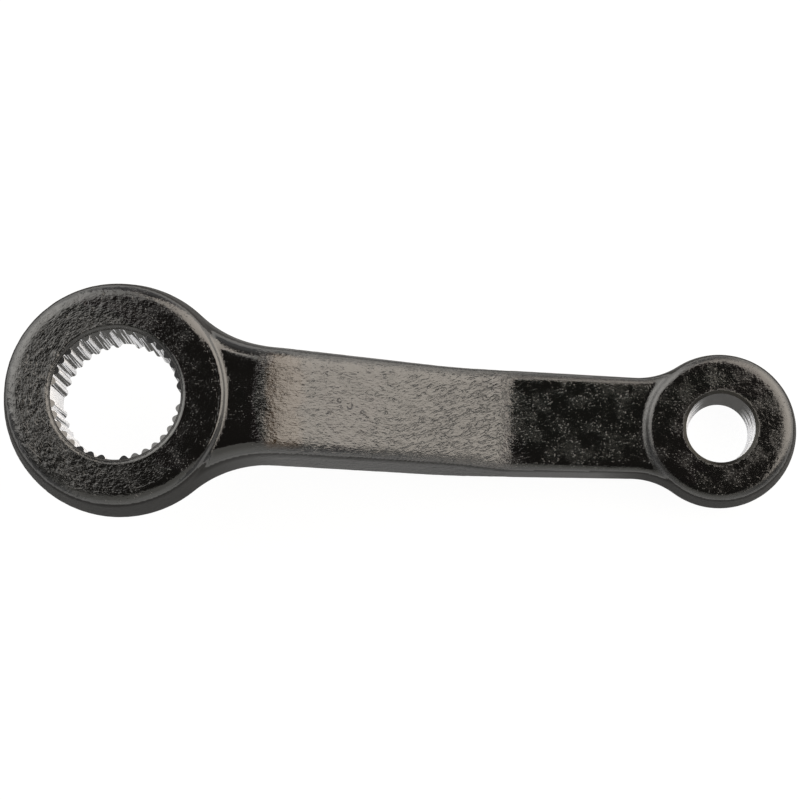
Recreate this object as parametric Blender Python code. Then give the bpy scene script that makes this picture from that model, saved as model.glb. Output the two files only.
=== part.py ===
"""Cranked steering pitman arm: one drop forging with a serrated eye and a tapered eye.

The arm lies along X and both eye axes stand along Z, as on a car, with the steering box above.
The origin is on the serrated bore's axis, level with the hub's upper face.
Run in Blender 4.5: blender --background --python part.py
"""

import math

import bmesh
import bpy

MM = 0.001

# Arm
CENTRE_DISTANCE = 148.0 * MM
EYE_DROP = 28.5 * MM
DRAFT = math.radians(7.0)
FLASH_LAND = 1.2 * MM

# Hub eye, which clamps on the sector shaft
HUB_LENGTH = 30.0 * MM
HUB_RADIUS = 28.8 * MM
HUB_EDGE_RADIUS = 3.2 * MM
HUB_STEP = 1.5 * MM

# Small eye, which seats the ball stud
EYE_LENGTH = 20.0 * MM
EYE_RADIUS = 19.3 * MM
EYE_EDGE_RADIUS = 1.7 * MM
EYE_STEP = 1.0 * MM

# Shank: widths are measured where its sides would reach the eye axes
SHANK_WIDTH_AT_HUB = 30.9 * MM
SHANK_WIDTH_AT_EYE = 24.5 * MM
SHANK_EDGE_RADIUS_AT_HUB = 5.3 * MM
SHANK_EDGE_RADIUS_AT_EYE = 0.9 * MM
CRANK_START = 39.6 * MM
CRANK_END = 94.5 * MM
UPPER_BEND_REACH = 5.0 * MM
LOWER_BEND_REACH = 1.6 * MM
BELLY_BEND_REACH = 6.0 * MM
HUB_NECK_RADIUS = 28.0 * MM
EYE_NECK_RADIUS = 18.0 * MM
ROOT_SINK = 0.4 * MM

# Serrated bore: 36 positions, with a tooth left out at each quarter turn as a master gap
SERRATION_POSITIONS = 36
MASTER_GAPS = 4
SERRATION_ROOT_RADIUS = 15.875 * MM
TOOTH_HEIGHT = 0.95 * MM
TOOTH_TIP_WIDTH = 0.45 * MM
TOOTH_BASE_WIDTH = 2.0 * MM
SERRATION_CLOSE_IN = 0.3 * MM
HUB_CHAMFER = 0.8 * MM

# Tapered bore: 1 in 10 on diameter, large end up
SEAT_LARGE_RADIUS = 8.6 * MM
SEAT_TAPER = 1.0 / 10.0
SEAT_CHAMFER = 0.75 * MM
SEAT_EXIT_CHAMFER = 0.5 * MM

# Facets
HUB_SEGMENTS = 96
EYE_SEGMENTS = 72
EDGE_STEPS = 5
BEND_STATIONS = 6
NECK_STATIONS = 10
CLOSEST_STATIONS = 0.4 * MM
SHARP_ANGLE = math.radians(35)
CUTTER_OVERRUN = 2.0 * MM

HUB_X = 0.0
HUB_TOP = 0.0
HUB_BOTTOM = HUB_TOP - HUB_LENGTH
EYE_X = HUB_X + CENTRE_DISTANCE
EYE_TOP = HUB_TOP - EYE_DROP
EYE_BOTTOM = EYE_TOP - EYE_LENGTH


def clear_scene():
    for obj in list(bpy.data.objects):
        bpy.data.objects.remove(obj, do_unlink=True)


def material(name, colour, roughness, metallic, coat=0.0):
    made = bpy.data.materials.new(name)
    made.use_nodes = True
    shader = made.node_tree.nodes["Principled BSDF"]
    shader.inputs["Base Color"].default_value = (*colour, 1.0)
    shader.inputs["Roughness"].default_value = roughness
    shader.inputs["Metallic"].default_value = metallic
    shader.inputs["Coat Weight"].default_value = coat
    return made


def object_from(name, rings, paint):
    """Skins a list of equally long rings of points into one closed outward-facing mesh."""
    mesh = bpy.data.meshes.new(name)
    work = bmesh.new()
    loops = [[work.verts.new(point) for point in ring] for ring in rings]
    for first, second in zip(loops, loops[1:]):
        for index in range(len(first)):
            following = (index + 1) % len(first)
            work.faces.new((first[index], first[following], second[following], second[index]))
    work.faces.new(reversed(loops[0]))
    work.faces.new(loops[-1])
    bmesh.ops.recalc_face_normals(work, faces=work.faces)
    work.to_mesh(mesh)
    work.free()
    mesh.materials.append(paint)
    mesh.shade_smooth()
    mesh.set_sharp_from_angle(angle=SHARP_ANGLE)
    obj = bpy.data.objects.new(name, mesh)
    bpy.context.scene.collection.objects.link(obj)
    return obj


def turned(name, profile, centre_x, segments, paint):
    """Revolves (radius, height) pairs, listed from the top down, about a vertical axis."""
    rings = []
    for radius, height in profile:
        ring = []
        for index in range(segments):
            angle = 2 * math.pi * index / segments
            ring.append((centre_x + radius * math.cos(angle), radius * math.sin(angle), height))
        rings.append(ring)
    return object_from(name, rings, paint)


def forged_quarter(outer, parting, face, radius, spread=1.0):
    """Points from the parting line to the face: a drafted wall, then a rounded edge.

    spread stretches the run inwards, for a wall that crosses the section plane at a slant.
    """
    rise = 1 if face > parting else -1
    height = abs(face - parting)
    land = FLASH_LAND / 2
    wall_run = (height - land) * math.tan(DRAFT)
    centre_out = outer - wall_run - radius * math.tan((math.pi / 2 - DRAFT) / 2)
    points = [(outer, parting + rise * land)]
    for step in range(EDGE_STEPS + 1):
        angle = DRAFT + (math.pi / 2 - DRAFT) * step / EDGE_STEPS
        out = centre_out + radius * math.cos(angle)
        points.append((outer - (outer - out) * spread, face + rise * radius * (math.sin(angle) - 1)))
    return points


def eye_profile(radius, top, bottom, edge_radius):
    parting = (top + bottom) / 2
    upper = forged_quarter(radius, parting, top, edge_radius)
    lower = forged_quarter(radius, parting, bottom, edge_radius)
    return list(reversed(upper)) + lower


class Crank:
    """One edge line of the shank in side view: level, inclined, level, with rounded corners."""

    def __init__(self, first, last, start, end, first_reach, last_reach):
        self.first, self.last = first, last
        self.corners = ((start, first, first_reach), (end, last, last_reach))
        self.start, self.end = start, end

    def sharp(self, x):
        share = (x - self.start) / (self.end - self.start)
        return self.first + (self.last - self.first) * min(max(share, 0.0), 1.0)

    def height(self, x):
        for corner_x, corner_z, reach in self.corners:
            if abs(x - corner_x) < reach:
                u = (x - corner_x + reach) / (2 * reach)
                before = self.sharp(corner_x - reach)
                after = self.sharp(corner_x + reach)
                return (1 - u) ** 2 * before + 2 * u * (1 - u) * corner_z + u**2 * after
        return self.sharp(x)


def crank_lines():
    """The shank's upper face, parting line and lower face, as heights along X."""
    top_first, top_last = HUB_TOP - HUB_STEP, EYE_TOP - EYE_STEP
    bottom_first, bottom_last = HUB_BOTTOM + HUB_STEP, EYE_BOTTOM + EYE_STEP
    start, end = HUB_X + CRANK_START, HUB_X + CRANK_END
    slope = (top_last - top_first) / (end - start)
    upright_depth = (top_first - bottom_first) * math.sqrt(1 + slope**2)

    def where(level, depth):
        return start + (level + depth - top_first) / slope

    top = Crank(top_first, top_last, start, end, UPPER_BEND_REACH, LOWER_BEND_REACH)
    middle_first, middle_last = (top_first + bottom_first) / 2, (top_last + bottom_last) / 2
    middle = Crank(
        middle_first,
        middle_last,
        where(middle_first, upright_depth / 2),
        where(middle_last, upright_depth / 2),
        UPPER_BEND_REACH,
        BELLY_BEND_REACH,
    )
    bottom = Crank(
        bottom_first,
        bottom_last,
        where(bottom_first, upright_depth),
        where(bottom_last, upright_depth),
        UPPER_BEND_REACH,
        BELLY_BEND_REACH,
    )
    return top, middle, bottom


class PlanOutline:
    """Half width of the shank along X: straight tapered sides with a neck arc into each eye."""

    def __init__(self):
        self.slope = (SHANK_WIDTH_AT_EYE - SHANK_WIDTH_AT_HUB) / 2 / CENTRE_DISTANCE
        self.base = SHANK_WIDTH_AT_HUB / 2 - self.slope * HUB_X
        self.hub = self.neck(HUB_X, HUB_RADIUS, HUB_NECK_RADIUS, 1)
        self.eye = self.neck(EYE_X, EYE_RADIUS, EYE_NECK_RADIUS, -1)

    def neck(self, eye_x, eye_radius, radius, side):
        """Centre and end points of the arc that touches both the eye's circle and the side."""
        lift = self.base + radius * math.sqrt(1 + self.slope**2)
        a = 1 + self.slope**2
        b = 2 * (self.slope * lift - eye_x)
        c = eye_x**2 + lift**2 - (eye_radius + radius) ** 2
        x = (-b + side * math.sqrt(b * b - 4 * a * c)) / (2 * a)
        y = self.slope * x + lift
        on_eye = eye_x + (x - eye_x) * eye_radius / (eye_radius + radius)
        on_side = x + self.slope * radius / math.sqrt(1 + self.slope**2)
        return {"x": x, "y": y, "radius": radius, "on_eye": on_eye, "on_side": on_side}

    def half_width(self, x):
        if x < self.hub["on_eye"]:
            return math.sqrt((HUB_RADIUS - ROOT_SINK) ** 2 - (x - HUB_X) ** 2)
        if x > self.eye["on_eye"]:
            return math.sqrt((EYE_RADIUS - ROOT_SINK) ** 2 - (x - EYE_X) ** 2)
        for arc, inside in ((self.hub, x < self.hub["on_side"]), (self.eye, x > self.eye["on_side"])):
            if inside:
                return arc["y"] - math.sqrt(arc["radius"] ** 2 - (x - arc["x"]) ** 2)
        return self.base + self.slope * x

    def spread(self, x):
        for arc in (self.hub, self.eye):
            if min(arc["on_eye"], arc["on_side"]) <= x <= max(arc["on_eye"], arc["on_side"]):
                run = (x - arc["x"]) / math.sqrt(arc["radius"] ** 2 - (x - arc["x"]) ** 2)
                return math.sqrt(1 + run**2)
        return 1.0


def evenly(first, last, count):
    return [first + (last - first) * index / (count - 1) for index in range(count)]


def shank_stations(outline, lines):
    """X of every section: close together in the necks and bends, far apart between them."""
    inside_hub = (HUB_X + outline.hub["on_eye"]) / 2
    inside_eye = (EYE_X + outline.eye["on_eye"]) / 2
    stations = [inside_hub, inside_eye]
    stations += evenly(outline.hub["on_eye"], outline.hub["on_side"], NECK_STATIONS)
    stations += evenly(outline.eye["on_eye"], outline.eye["on_side"], NECK_STATIONS)
    for line in lines:
        for corner_x, _, reach in line.corners:
            stations += evenly(corner_x - reach, corner_x + reach, BEND_STATIONS)
    stations.sort()
    kept = [stations[0]]
    for x in stations[1:]:
        if x - kept[-1] > CLOSEST_STATIONS:
            kept.append(x)
    return kept


def shank(paint):
    outline = PlanOutline()
    lines = crank_lines()
    top, middle, bottom = lines
    rings = []
    for x in shank_stations(outline, lines):
        share = (x - HUB_X) / CENTRE_DISTANCE
        edge = SHANK_EDGE_RADIUS_AT_HUB + (SHANK_EDGE_RADIUS_AT_EYE - SHANK_EDGE_RADIUS_AT_HUB) * share
        half, spread = outline.half_width(x), outline.spread(x)
        upper = forged_quarter(half, middle.height(x), top.height(x), edge, spread)
        lower = forged_quarter(half, middle.height(x), bottom.height(x), edge, spread)
        side = list(reversed(lower)) + upper
        ring = [(x, y, z) for y, z in side]
        ring += [(x, -y, z) for y, z in reversed(side)]
        rings.append(ring)
    return object_from("shank_blank", rings, paint)


def serration_outline(root_radius):
    """Bore outline, counter-clockwise from +X: teeth point inwards, and master gaps have none."""
    per_gap = SERRATION_POSITIONS // MASTER_GAPS
    pitch = 2 * math.pi / SERRATION_POSITIONS
    half_base = TOOTH_BASE_WIDTH / 2 / root_radius
    half_tip = TOOTH_TIP_WIDTH / 2 / (root_radius - TOOTH_HEIGHT)
    points = []
    for position in range(SERRATION_POSITIONS):
        middle = pitch * position
        height = 0.0 if position % per_gap == 0 else TOOTH_HEIGHT
        corners = (
            (-half_base, root_radius),
            (-half_tip, root_radius - height),
            (half_tip, root_radius - height),
            (half_base, root_radius),
            (pitch / 2, root_radius),
        )
        for turn, radius in corners:
            points.append((radius * math.cos(middle + turn), radius * math.sin(middle + turn)))
    return points


def serration_cutter(paint):
    """Broach shape: the serration, closing in slightly towards the lower face."""
    close_in = SERRATION_CLOSE_IN / HUB_LENGTH
    rings = []
    for height in (HUB_TOP + CUTTER_OVERRUN, HUB_BOTTOM - CUTTER_OVERRUN):
        root = SERRATION_ROOT_RADIUS - (HUB_TOP - height) * close_in
        rings.append([(HUB_X + x, y, height) for x, y in serration_outline(root)])
    return object_from("serration_cutter", rings, paint)


def hub_chamfer_cutter(paint):
    """Hourglass whose cones break the bore's mouths and the tooth ends at 45 degrees."""
    waist = SERRATION_ROOT_RADIUS - SERRATION_CLOSE_IN - 2 * TOOTH_HEIGHT
    mouth = SERRATION_ROOT_RADIUS + HUB_CHAMFER
    cone = mouth - waist
    profile = [
        (mouth + CUTTER_OVERRUN, HUB_TOP + CUTTER_OVERRUN),
        (waist, HUB_TOP - cone),
        (waist, HUB_BOTTOM + cone),
        (mouth + CUTTER_OVERRUN, HUB_BOTTOM - CUTTER_OVERRUN),
    ]
    return turned("hub_chamfer_cutter", profile, HUB_X, HUB_SEGMENTS, paint)


def seat_cutter(paint):
    """Tapered seat with a chamfer at each end."""
    exit_height = EYE_BOTTOM + SEAT_EXIT_CHAMFER
    seat_height = EYE_TOP - SEAT_CHAMFER
    small_radius = SEAT_LARGE_RADIUS - (seat_height - exit_height) * SEAT_TAPER / 2
    profile = [
        (SEAT_LARGE_RADIUS + SEAT_CHAMFER + CUTTER_OVERRUN, EYE_TOP + CUTTER_OVERRUN),
        (SEAT_LARGE_RADIUS, seat_height),
        (small_radius, exit_height),
        (small_radius + SEAT_EXIT_CHAMFER + CUTTER_OVERRUN, EYE_BOTTOM - CUTTER_OVERRUN),
    ]
    return turned("seat_cutter", profile, EYE_X, EYE_SEGMENTS, paint)


def combine(body, other, operation):
    other.hide_render = True
    other.display_type = "WIRE"
    step = body.modifiers.new(other.name, "BOOLEAN")
    step.operation = operation
    step.solver = "EXACT"
    step.object = other


def pitman_arm():
    paint = material("black_paint_on_forging", (0.012, 0.012, 0.011), 0.35, 0.0, coat=0.5)
    steel = material("machined_steel", (0.60, 0.59, 0.57), 0.25, 1.0)
    hub = eye_profile(HUB_RADIUS, HUB_TOP, HUB_BOTTOM, HUB_EDGE_RADIUS)
    eye = eye_profile(EYE_RADIUS, EYE_TOP, EYE_BOTTOM, EYE_EDGE_RADIUS)
    body = turned("pitman_arm", hub, HUB_X, HUB_SEGMENTS, paint)
    body.data.materials.append(steel)
    combine(body, shank(paint), "UNION")
    combine(body, turned("eye_blank", eye, EYE_X, EYE_SEGMENTS, paint), "UNION")
    combine(body, serration_cutter(steel), "DIFFERENCE")
    combine(body, hub_chamfer_cutter(paint), "DIFFERENCE")
    combine(body, seat_cutter(steel), "DIFFERENCE")
    return body


clear_scene()
pitman_arm()
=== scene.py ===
import math

import bpy
import numpy as np
from mathutils import Matrix, Vector


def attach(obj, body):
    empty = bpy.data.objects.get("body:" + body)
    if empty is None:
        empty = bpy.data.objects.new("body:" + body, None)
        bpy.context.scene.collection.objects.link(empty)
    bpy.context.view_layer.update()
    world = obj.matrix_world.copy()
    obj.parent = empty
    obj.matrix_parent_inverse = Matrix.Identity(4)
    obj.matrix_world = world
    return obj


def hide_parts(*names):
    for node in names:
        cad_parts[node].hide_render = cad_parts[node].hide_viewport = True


# A cranked steering arm: drop forged, painted gloss black, with bare machined bores.
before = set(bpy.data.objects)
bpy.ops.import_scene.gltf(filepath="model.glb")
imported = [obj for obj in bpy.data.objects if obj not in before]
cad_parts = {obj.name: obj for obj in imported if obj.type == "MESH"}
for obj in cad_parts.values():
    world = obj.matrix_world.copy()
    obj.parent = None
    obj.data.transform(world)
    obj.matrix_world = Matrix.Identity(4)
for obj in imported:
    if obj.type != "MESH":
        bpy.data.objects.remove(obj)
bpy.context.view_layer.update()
mm = 0.001


def addNode(tree, kind, feeds=None, **settings):
    node = tree.nodes.new(kind)
    for name, value in settings.items():
        setattr(node, name, value)
    for socket, value in (feeds or {}).items():
        if isinstance(value, bpy.types.NodeSocket):
            tree.links.new(value, node.inputs[socket])
        else:
            node.inputs[socket].default_value = value
    return node


def linearFromHex(text):
    channels = [int(text[i:i + 2], 16) / 255 for i in (1, 3, 5)]
    return [c / 12.92 if c <= 0.04045 else ((c + 0.055) / 1.055) ** 2.4 for c in channels] + [1.0]


def addObject(name, points, faces):
    mesh = bpy.data.meshes.new(name)
    mesh.from_pydata(points, [], faces)
    mesh.update()
    obj = bpy.data.objects.new(name, mesh)
    bpy.context.scene.collection.objects.link(obj)
    return obj


def skinRings(rings, closedRound=False):
    # points and outward quads over equally long rings, with flat ends or joined round
    count = len(rings[0])
    points = [p for ring in rings for p in ring]
    faces = []
    for a in range(len(rings) - (0 if closedRound else 1)):
        b = (a + 1) % len(rings)
        for i in range(count):
            j = (i + 1) % count
            faces.append((a * count + i, a * count + j, b * count + j, b * count + i))
    if not closedRound:
        faces.append(tuple(reversed(range(count))))
        faces.append(tuple(range((len(rings) - 1) * count, len(rings) * count)))
    return points, faces


def turned(name, profile, centreX, segments, closedRound=False):
    # profile is (radius, height) pairs in mm from the bottom up
    rings = []
    for radius, height in profile:
        ring = []
        for i in range(segments):
            turn = 2 * math.pi * i / segments
            ring.append((centreX + radius * math.cos(turn) * mm, radius * math.sin(turn) * mm, height * mm))
        rings.append(ring)
    return addObject(name, *skinRings(rings, closedRound))


def applyModifiers(obj):
    evaluated = obj.evaluated_get(bpy.context.evaluated_depsgraph_get())
    made = bpy.data.meshes.new_from_object(evaluated)
    obj.modifiers.clear()
    old = obj.data
    obj.data = made
    bpy.data.meshes.remove(old)


def runTree(obj, tree, values):
    # inputs are set by the socket's identifier before the object is first evaluated
    modifier = obj.modifiers.new(tree.name, "NODES")
    modifier.node_group = tree
    for item in tree.interface.items_tree:
        if item.item_type == "SOCKET" and item.in_out == "INPUT" and item.name in values:
            modifier[item.identifier] = values[item.name]
    applyModifiers(obj)


def openTree(name, inputs):
    # inputs maps a socket's name to its type
    tree = bpy.data.node_groups.new(name, "GeometryNodeTree")
    tree.interface.new_socket("Geometry", in_out="INPUT", socket_type="NodeSocketGeometry")
    for label, kind in inputs.items():
        tree.interface.new_socket(label, in_out="INPUT", socket_type="NodeSocket" + kind)
    tree.interface.new_socket("Geometry", in_out="OUTPUT", socket_type="NodeSocketGeometry")
    return tree


# a pair says where a blend begins and where it is full
blackPaint = {
    "colour": "#0d0c0b",
    "ior": 1.6,
    "faceSpecular": 1.0,
    "wallSpecular": 0.34,
    "smoothRoughness": 0.09,
    "coarseRoughness": 0.225,
    "coarsePower": 3.0,
    "cloudRoughness": 0.115,
    "eyeWallRoughness": 0.84,
    "shankWallRoughness": 0.50,
    "leavesHubMm": (18, 40),
    "nearsEyeMm": (118, 130),
    "turnsUpright": (0.28, 0.52),
    "turnsCoarse": (0.09, 0.22),
    "peelDepthMm": 0.245,
    "grainDepthMm": 0.16,
    "foldDepthMm": 0.16,
    "speckHighMm": 0.075,
    "foldBelow": (0.395, 0.285),
    "speckAbove": (0.69, 0.80),
    "cloudAbove": (0.46, 0.62),
    "crowdTowards": (1.0, -1.2, 0.0),
    "crowdMm": (58, 84),
    "crowdBy": 0.08,
    "pitWideMm": 0.24,
    "pitDepthMm": 0.14,
}
# the paint's noises: size in mm, detail, distortion, and whether they follow the flow of the folds
paintNoises = {
    "peel": (1.3, 4.0, 0.0, False),
    "grain": (0.4, 2.0, 0.0, True),
    "fold": (0.8, 2.0, 0.6, True),
    "speck": (0.42, 0.0, 0.0, False),
    "cloud": (4.6, 3.0, 0.0, False),
}
# above the first bend a brown tint is painted on the top only, with a wavering edge: a painted tint of the
# sheen there
sheenTint = {
    "colour": "#281904",
    "beginsMm": (38.9, 40.9),
    "endsMm": (46.8, 49.2),
    "waverMm": 5.6,
    "heightMm": (-9, -7),
    "lying": (0.12, 0.26),
}
# worn stamping on the incline, three arcs too shallow to read: (X, Y, Z, radius) in mm, open side in degrees
stampedPits = [(54.1, 1.3, -8.9, 0.55, 20), (56.6, 0.2, -10.2, 0.75, 130), (59.7, -1.2, -11.8, 0.50, 300)]
# the real tool marks are finer than markMm: they are drawn as coarse as they need to show
bareSteel = {
    "colour": "#fbfcff",
    # the darker tone is painted shade, laid where the bore walls face the front; upward faces, such as the
    # eye's chamfer, take it all round
    "darkTone": "#454441",
    "darkBetween": (0.45, 0.75),
    "darkOnTop": 2.3,
    "streakBetween": (0.42, 0.58),
    "roughness": 0.42,
    "anisotropy": 0.85,
    "turn": 0.25,
    "markMm": 0.48,
    "markDepthMm": 0.02,
}
# a small number in stretch draws the marks out along that axis
# the direction, in degrees round from +X, that the walls with painted shade face
broached = {"name": "broachedSteel", "stretch": (1.0, 1.0, 0.003), "streaks": 1.0, "shadeFromDeg": 256}
reamed = {"name": "reamedSteel", "stretch": (0.06, 0.06, 1.0), "streaks": 0.4, "shadeFromDeg": 262}


def paintedHeight(tree, place, noises, coarse, clouds):
    # folds are short dark dashes where the drawn-out noise runs low, crowded at the incline's foot;
    # specks are nibs where another noise peaks
    downhill = addNode(tree, "ShaderNodeVectorMath", {0: place, 1: blackPaint["crowdTowards"]},
                       operation="DOT_PRODUCT").outputs["Value"]
    begin, full = (edge * mm for edge in blackPaint["crowdMm"])
    crowded = addNode(tree, "ShaderNodeMapRange", {
        0: downhill, 1: begin, 2: full, 3: 0.0, 4: blackPaint["crowdBy"]}).outputs[0]
    lowered = addNode(tree, "ShaderNodeMath", {0: noises["fold"], 1: crowded},
                      operation="SUBTRACT").outputs[0]
    begin, full = blackPaint["foldBelow"]
    dash = addNode(tree, "ShaderNodeMapRange", {0: lowered, 1: begin, 2: full},
                   interpolation_type="SMOOTHSTEP").outputs[0]
    begin, full = blackPaint["speckAbove"]
    nib = addNode(tree, "ShaderNodeMapRange", {0: noises["speck"], 1: begin, 2: full},
                  interpolation_type="SMOOTHSTEP").outputs[0]
    nibs = addNode(tree, "ShaderNodeMath", {0: nib, 1: clouds}, operation="MULTIPLY").outputs[0]
    dashed = addNode(tree, "ShaderNodeMath", {0: dash, 1: coarse}, operation="MULTIPLY").outputs[0]
    height = 0.0
    for layer, depth in ((noises["peel"], blackPaint["peelDepthMm"]),
                         (noises["grain"], blackPaint["grainDepthMm"]),
                         (dashed, -blackPaint["foldDepthMm"])):
        height = addNode(tree, "ShaderNodeMath", {0: layer, 1: depth, 2: height},
                         operation="MULTIPLY_ADD").outputs[0]
    height = addNode(tree, "ShaderNodeMath", {0: height, 1: coarse}, operation="MULTIPLY").outputs[0]
    return addNode(tree, "ShaderNodeMath", {0: nibs, 1: blackPaint["speckHighMm"], 2: height},
                   operation="MULTIPLY_ADD").outputs[0]


def stampedHeight(tree, place, height):
    # each pit is a groove round a circle, kept on all but its open side
    for pitX, pitY, pitZ, radius, opening in stampedPits:
        fromPit = addNode(tree, "ShaderNodeVectorMath", {0: place, 1: (pitX * mm, pitY * mm, pitZ * mm)},
                          operation="SUBTRACT").outputs[0]
        away = addNode(tree, "ShaderNodeVectorMath", {0: fromPit}, operation="LENGTH").outputs["Value"]
        towards = (math.cos(math.radians(opening)), math.sin(math.radians(opening)), 0.0)
        side = addNode(tree, "ShaderNodeVectorMath", {0: fromPit, 1: towards},
                       operation="DOT_PRODUCT").outputs["Value"]
        kept = addNode(tree, "ShaderNodeMapRange", {
            0: side, 1: 0.0, 2: radius * mm / 2, 3: 1.0, 4: 0.0}).outputs[0]
        off = addNode(tree, "ShaderNodeMath", {0: away, 1: radius * mm}, operation="SUBTRACT").outputs[0]
        off = addNode(tree, "ShaderNodeMath", {0: off}, operation="ABSOLUTE").outputs[0]
        pit = addNode(tree, "ShaderNodeMapRange", {
            0: off, 1: 0.0, 2: blackPaint["pitWideMm"] * mm, 3: -blackPaint["pitDepthMm"], 4: 0.0},
            interpolation_type="SMOOTHSTEP").outputs[0]
        height = addNode(tree, "ShaderNodeMath", {0: pit, 1: kept, 2: height},
                         operation="MULTIPLY_ADD").outputs[0]
    return height


def paintRoughness(tree, x, upright, coarse, clouds):
    steepened = addNode(tree, "ShaderNodeMath", {0: coarse, 1: blackPaint["coarsePower"]},
                        operation="POWER").outputs[0]
    clear = addNode(tree, "ShaderNodeMapRange", {
        0: steepened, 3: blackPaint["smoothRoughness"], 4: blackPaint["coarseRoughness"]}).outputs[0]
    onFace = addNode(tree, "ShaderNodeMath", {0: clouds, 1: blackPaint["cloudRoughness"], 2: clear},
                     operation="MULTIPLY_ADD").outputs[0]
    # the walls of both eyes are duller than the shank's
    onWall = blackPaint["eyeWallRoughness"]
    for label, ahead in (("leavesHubMm", "shankWallRoughness"), ("nearsEyeMm", "eyeWallRoughness")):
        begin, full = (edge * mm for edge in blackPaint[label])
        onWall = addNode(tree, "ShaderNodeMapRange", {
            0: x, 1: begin, 2: full, 3: onWall, 4: blackPaint[ahead]}).outputs[0]
    begin, full = blackPaint["turnsUpright"]
    return addNode(tree, "ShaderNodeMapRange", {
        0: upright, 1: begin, 2: full, 3: onFace, 4: onWall}).outputs[0]


def paintColour(tree, split, upright, cloud):
    wavering = addNode(tree, "ShaderNodeMath", {0: cloud, 1: sheenTint["waverMm"] * mm, 2: split["X"]},
                       operation="MULTIPLY_ADD").outputs[0]
    (begin, begun), (end, ended) = sheenTint["beginsMm"], sheenTint["endsMm"]
    low, high = sheenTint["heightMm"]
    flat, steep = sheenTint["lying"]
    # a brown tone painted on the top above the first bend, standing in for the tint of the sheen there
    tinted = 1.0
    for measured, first, last, before, after in (
            (wavering, begin * mm, begun * mm, 0.0, 1.0), (wavering, end * mm, ended * mm, 1.0, 0.0),
            (split["Z"], low * mm, high * mm, 0.0, 1.0), (upright, flat, steep, 1.0, 0.0)):
        within = addNode(tree, "ShaderNodeMapRange", {
            0: measured, 1: first, 2: last, 3: before, 4: after}).outputs[0]
        tinted = addNode(tree, "ShaderNodeMath", {0: tinted, 1: within}, operation="MULTIPLY").outputs[0]
    return addNode(tree, "ShaderNodeMix", {
        "Factor": tinted, 6: linearFromHex(blackPaint["colour"]), 7: linearFromHex(sheenTint["colour"])},
        data_type="RGBA").outputs[2]


def blackEnamel(name, specular):
    # Chassis black, an alkyd enamel sprayed over forging scale: it flows into soft orange peel,
    # keeps the pits and folds of the skin below, and mirrors the lamps as broken patches and flecks.
    # Sprayed from above, it lands dry and dull on the upright walls, so those get a weaker mirror.
    material = bpy.data.materials.new(name)
    material.use_nodes = True
    tree = material.node_tree
    shader = tree.nodes["Principled BSDF"]
    place = addNode(tree, "ShaderNodeTexCoord").outputs["Object"]
    split = addNode(tree, "ShaderNodeSeparateXYZ", {0: place}).outputs
    flow = addNode(tree, "ShaderNodeAttribute", attribute_name="flow").outputs["Vector"]
    upright = addNode(tree, "ShaderNodeAttribute", attribute_name="upright").outputs["Fac"]
    coarse = addNode(tree, "ShaderNodeAttribute", attribute_name="coarse").outputs["Fac"]
    noises = {}
    for label, (size, detail, distortion, flowing) in paintNoises.items():
        noises[label] = addNode(tree, "ShaderNodeTexNoise", {
            "Vector": flow if flowing else place, "Scale": 1 / (size * mm), "Detail": detail,
            "Distortion": distortion}).outputs[0]
    begin, full = blackPaint["cloudAbove"]
    cloudy = addNode(tree, "ShaderNodeMapRange", {0: noises["cloud"], 1: begin, 2: full}).outputs[0]
    begin, full = blackPaint["turnsCoarse"]
    rough = addNode(tree, "ShaderNodeMapRange", {0: coarse, 1: begin, 2: full}).outputs[0]
    clouds = addNode(tree, "ShaderNodeMath", {0: cloudy, 1: rough}, operation="MULTIPLY").outputs[0]
    height = paintedHeight(tree, place, noises, coarse, clouds)
    height = stampedHeight(tree, place, height)
    bump = addNode(tree, "ShaderNodeBump", {"Height": height, "Distance": mm, "Strength": 1.0}).outputs[0]
    shader.inputs["IOR"].default_value = blackPaint["ior"]
    shader.inputs["Specular IOR Level"].default_value = specular
    tree.links.new(paintColour(tree, split, upright, noises["cloud"]), shader.inputs["Base Color"])
    tree.links.new(paintRoughness(tree, split["X"], upright, coarse, clouds), shader.inputs["Roughness"])
    tree.links.new(bump, shader.inputs["Normal"])
    return material


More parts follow.
